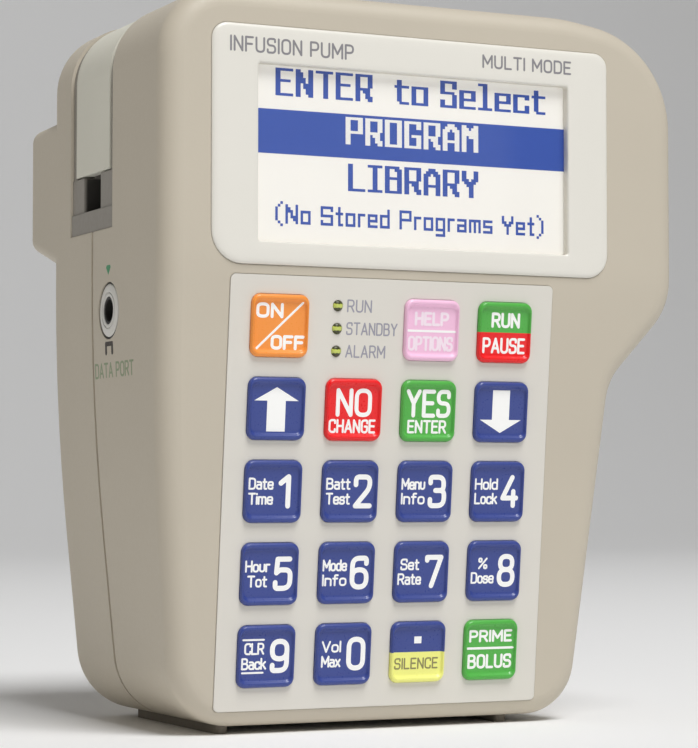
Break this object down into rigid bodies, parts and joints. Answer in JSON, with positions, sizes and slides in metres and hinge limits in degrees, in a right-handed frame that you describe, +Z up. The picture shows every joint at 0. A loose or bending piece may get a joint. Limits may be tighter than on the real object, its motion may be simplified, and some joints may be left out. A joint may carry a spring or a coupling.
{
  "type": "ambulatory infusion pump",
  "caption": "Handheld peristaltic infusion pump with a screen, a sloping keypad of square keys, a hinged tube door and a rear pole-mount housing.",
  "frame": {"origin": "centre of the footprint, on the surface that the rails stand on", "axes": "+Z up along the case's height, -Y is the front with the screen and keys, +X to the right seen from the front"},
  "size_m": [0.1, 0.071, 0.126],
  "materials": {
    "case_plastic": "fine-grained moulded plastic, warm beige",
    "bezel_silver": "pearl silver print under a glossy film",
    "clear_lens": "clear polished window",
    "lcd_glass": "white reflective display glass",
    "fascia_film": "textured polyester film, pale warm grey",
    "key_orange": "satin moulded plastic",
    "key_pink": "satin moulded plastic",
    "key_green": "satin moulded plastic",
    "key_red": "satin moulded plastic",
    "key_blue": "satin moulded plastic",
    "led_lens": "tinted light pipe",
    "silicone": "translucent silicone",
    "circuit_board": "solder resist green",
    "black_plastic": "moulded black plastic",
    "socket_ring": "light grey moulded plastic",
    "channel_grey": "fine-grained dark grey plastic",
    "door_grey": "fine-grained light grey plastic",
    "steel": "plain steel",
    "brass": "plain brass",
    "nickel": "nickel-plated spring strip",
    "white_acetal": "natural acetal",
    "motor_can": "drawn steel can",
    "cell_jacket": "plain printed steel jacket",
    "foot_rubber": "dark elastomer",
    "black_rubber": "closed-cell seal"
  },
  "bodies": {
    "case": {"front_case": "case_plastic", "rear_case": "case_plastic", "case_gasket": "black_rubber", "screen_bezel": "bezel_silver", "lcd_window": "clear_lens", "lcd_module": "lcd_glass", "keypad_fascia": "fascia_film", "dome_sheet": "silicone", "key_board": "circuit_board", "led_lenses": "led_lens", "data_socket": "black_plastic", "data_socket_ring": "socket_ring", "channel_insert": "channel_grey", "door_pins": "steel", "air_sensor": "black_plastic", "pressure_sensor": "steel", "outlet_grommet": "channel_grey", "finger_block": "black_plastic", "cam_bearings": "steel", "pump_motor": "motor_can", "main_board": "circuit_board", "buzzer": "black_plastic", "battery_tray": "black_plastic", "battery_cells": "cell_jacket", "battery_contacts": "nickel", "battery_door_pin": "steel", "foot_rails": "foot_rubber", "case_screws": "steel", "pole_mount_insert": "brass"},
    "tube_door": {"tube_door": "door_grey", "door_platen": "steel"},
    "battery_door": {"battery_door": "case_plastic"},
    "camshaft": {"camshaft": "steel", "cam_gear": "white_acetal"},
    "motor_rotor": {"motor_rotor": "brass"},
    "key_on_off": {"key_on_off": "key_orange"},
    "key_help": {"key_help": "key_pink"},
    "key_run_pause": {"key_run_pause": "key_green"},
    "key_up": {"key_up": "key_blue"},
    "key_no": {"key_no": "key_red"},
    "key_yes": {"key_yes": "key_green"},
    "key_down": {"key_down": "key_blue"},
    "key_1": {"key_1": "key_blue"},
    "key_2": {"key_2": "key_blue"},
    "key_3": {"key_3": "key_blue"},
    "key_4": {"key_4": "key_blue"},
    "key_5": {"key_5": "key_blue"},
    "key_6": {"key_6": "key_blue"},
    "key_7": {"key_7": "key_blue"},
    "key_8": {"key_8": "key_blue"},
    "key_9": {"key_9": "key_blue"},
    "key_0": {"key_0": "key_blue"},
    "key_silence": {"key_silence": "key_blue"},
    "key_prime": {"key_prime": "key_green"},
    "finger_1": {"finger_1": "white_acetal"},
    "finger_2": {"finger_2": "white_acetal"},
    "finger_3": {"finger_3": "white_acetal"},
    "finger_4": {"finger_4": "white_acetal"},
    "finger_5": {"finger_5": "white_acetal"},
    "finger_6": {"finger_6": "white_acetal"}
  },
  "joints": [
    {"name": "press_on_off", "type": "slide", "parent": "case", "child": "key_on_off", "axis": [0, 0.9951, 0.0986], "range_m": [0, 0.0008], "stiffness_N_per_m": 250},
    {"name": "press_help", "type": "slide", "parent": "case", "child": "key_help", "axis": [0, 0.9951, 0.0986], "range_m": [0, 0.0008], "stiffness_N_per_m": 250},
    {"name": "press_run_pause", "type": "slide", "parent": "case", "child": "key_run_pause", "axis": [0, 0.9951, 0.0986], "range_m": [0, 0.0008], "stiffness_N_per_m": 250},
    {"name": "press_up", "type": "slide", "parent": "case", "child": "key_up", "axis": [0, 0.9951, 0.0986], "range_m": [0, 0.0008], "stiffness_N_per_m": 250},
    {"name": "press_no", "type": "slide", "parent": "case", "child": "key_no", "axis": [0, 0.9951, 0.0986], "range_m": [0, 0.0008], "stiffness_N_per_m": 250},
    {"name": "press_yes", "type": "slide", "parent": "case", "child": "key_yes", "axis": [0, 0.9951, 0.0986], "range_m": [0, 0.0008], "stiffness_N_per_m": 250},
    {"name": "press_down", "type": "slide", "parent": "case", "child": "key_down", "axis": [0, 0.9951, 0.0986], "range_m": [0, 0.0008], "stiffness_N_per_m": 250},
    {"name": "press_1", "type": "slide", "parent": "case", "child": "key_1", "axis": [0, 0.9951, 0.0986], "range_m": [0, 0.0008], "stiffness_N_per_m": 250},
    {"name": "press_2", "type": "slide", "parent": "case", "child": "key_2", "axis": [0, 0.9951, 0.0986], "range_m": [0, 0.0008], "stiffness_N_per_m": 250},
    {"name": "press_3", "type": "slide", "parent": "case", "child": "key_3", "axis": [0, 0.9951, 0.0986], "range_m": [0, 0.0008], "stiffness_N_per_m": 250},
    {"name": "press_4", "type": "slide", "parent": "case", "child": "key_4", "axis": [0, 0.9951, 0.0986], "range_m": [0, 0.0008], "stiffness_N_per_m": 250},
    {"name": "press_5", "type": "slide", "parent": "case", "child": "key_5", "axis": [0, 0.9951, 0.0986], "range_m": [0, 0.0008], "stiffness_N_per_m": 250},
    {"name": "press_6", "type": "slide", "parent": "case", "child": "key_6", "axis": [0, 0.9951, 0.0986], "range_m": [0, 0.0008], "stiffness_N_per_m": 250},
    {"name": "press_7", "type": "slide", "parent": "case", "child": "key_7", "axis": [0, 0.9951, 0.0986], "range_m": [0, 0.0008], "stiffness_N_per_m": 250},
    {"name": "press_8", "type": "slide", "parent": "case", "child": "key_8", "axis": [0, 0.9951, 0.0986], "range_m": [0, 0.0008], "stiffness_N_per_m": 250},
    {"name": "press_9", "type": "slide", "parent": "case", "child": "key_9", "axis": [0, 0.9951, 0.0986], "range_m": [0, 0.0008], "stiffness_N_per_m": 250},
    {"name": "press_0", "type": "slide", "parent": "case", "child": "key_0", "axis": [0, 0.9951, 0.0986], "range_m": [0, 0.0008], "stiffness_N_per_m": 250},
    {"name": "press_silence", "type": "slide", "parent": "case", "child": "key_silence", "axis": [0, 0.9951, 0.0986], "range_m": [0, 0.0008], "stiffness_N_per_m": 250},
    {"name": "press_prime", "type": "slide", "parent": "case", "child": "key_prime", "axis": [0, 0.9951, 0.0986], "range_m": [0, 0.0008], "stiffness_N_per_m": 250},
    {"name": "finger_1_slide", "type": "slide", "parent": "case", "child": "finger_1", "axis": [0, 0, 1], "range_m": [-0.0018, 0], "stiffness_N_per_m": 300},
    {"name": "finger_2_slide", "type": "slide", "parent": "case", "child": "finger_2", "axis": [0, 0, 1], "range_m": [-0.00135, 0.00045], "stiffness_N_per_m": 300},
    {"name": "finger_3_slide", "type": "slide", "parent": "case", "child": "finger_3", "axis": [0, 0, 1], "range_m": [-0.00045, 0.00135], "stiffness_N_per_m": 300},
    {"name": "finger_4_slide", "type": "slide", "parent": "case", "child": "finger_4", "axis": [0, 0, 1], "range_m": [0, 0.0018], "stiffness_N_per_m": 300},
    {"name": "finger_5_slide", "type": "slide", "parent": "case", "child": "finger_5", "axis": [0, 0, 1], "range_m": [-0.00045, 0.00135], "stiffness_N_per_m": 300},
    {"name": "finger_6_slide", "type": "slide", "parent": "case", "child": "finger_6", "axis": [0, 0, 1], "range_m": [-0.00135, 0.00045], "stiffness_N_per_m": 300},
    {"name": "tube_door_hinge", "type": "hinge", "parent": "case", "child": "tube_door", "pos_m": [0.027, -0.00025, 0.1218], "axis": [0, 1, 0], "range_deg": [0, 95]},
    {"name": "battery_door_hinge", "type": "hinge", "parent": "case", "child": "battery_door", "pos_m": [0.0265, 0.0201, 0.0435], "axis": [0, 0, -1], "range_deg": [0, 95]},
    {"name": "camshaft_spin", "type": "hinge", "parent": "case", "child": "camshaft", "pos_m": [0, 0.00025, 0.1015], "axis": [1, 0, 0], "continuous": true},
    {"name": "motor_spin", "type": "hinge", "parent": "case", "child": "motor_rotor", "pos_m": [0, 0.01175, 0.09038], "axis": [1, 0, 0], "continuous": true}
  ],
  "couplings": [
    {"joint": "motor_spin", "follows": "camshaft_spin", "ratio": -3}
  ]
}
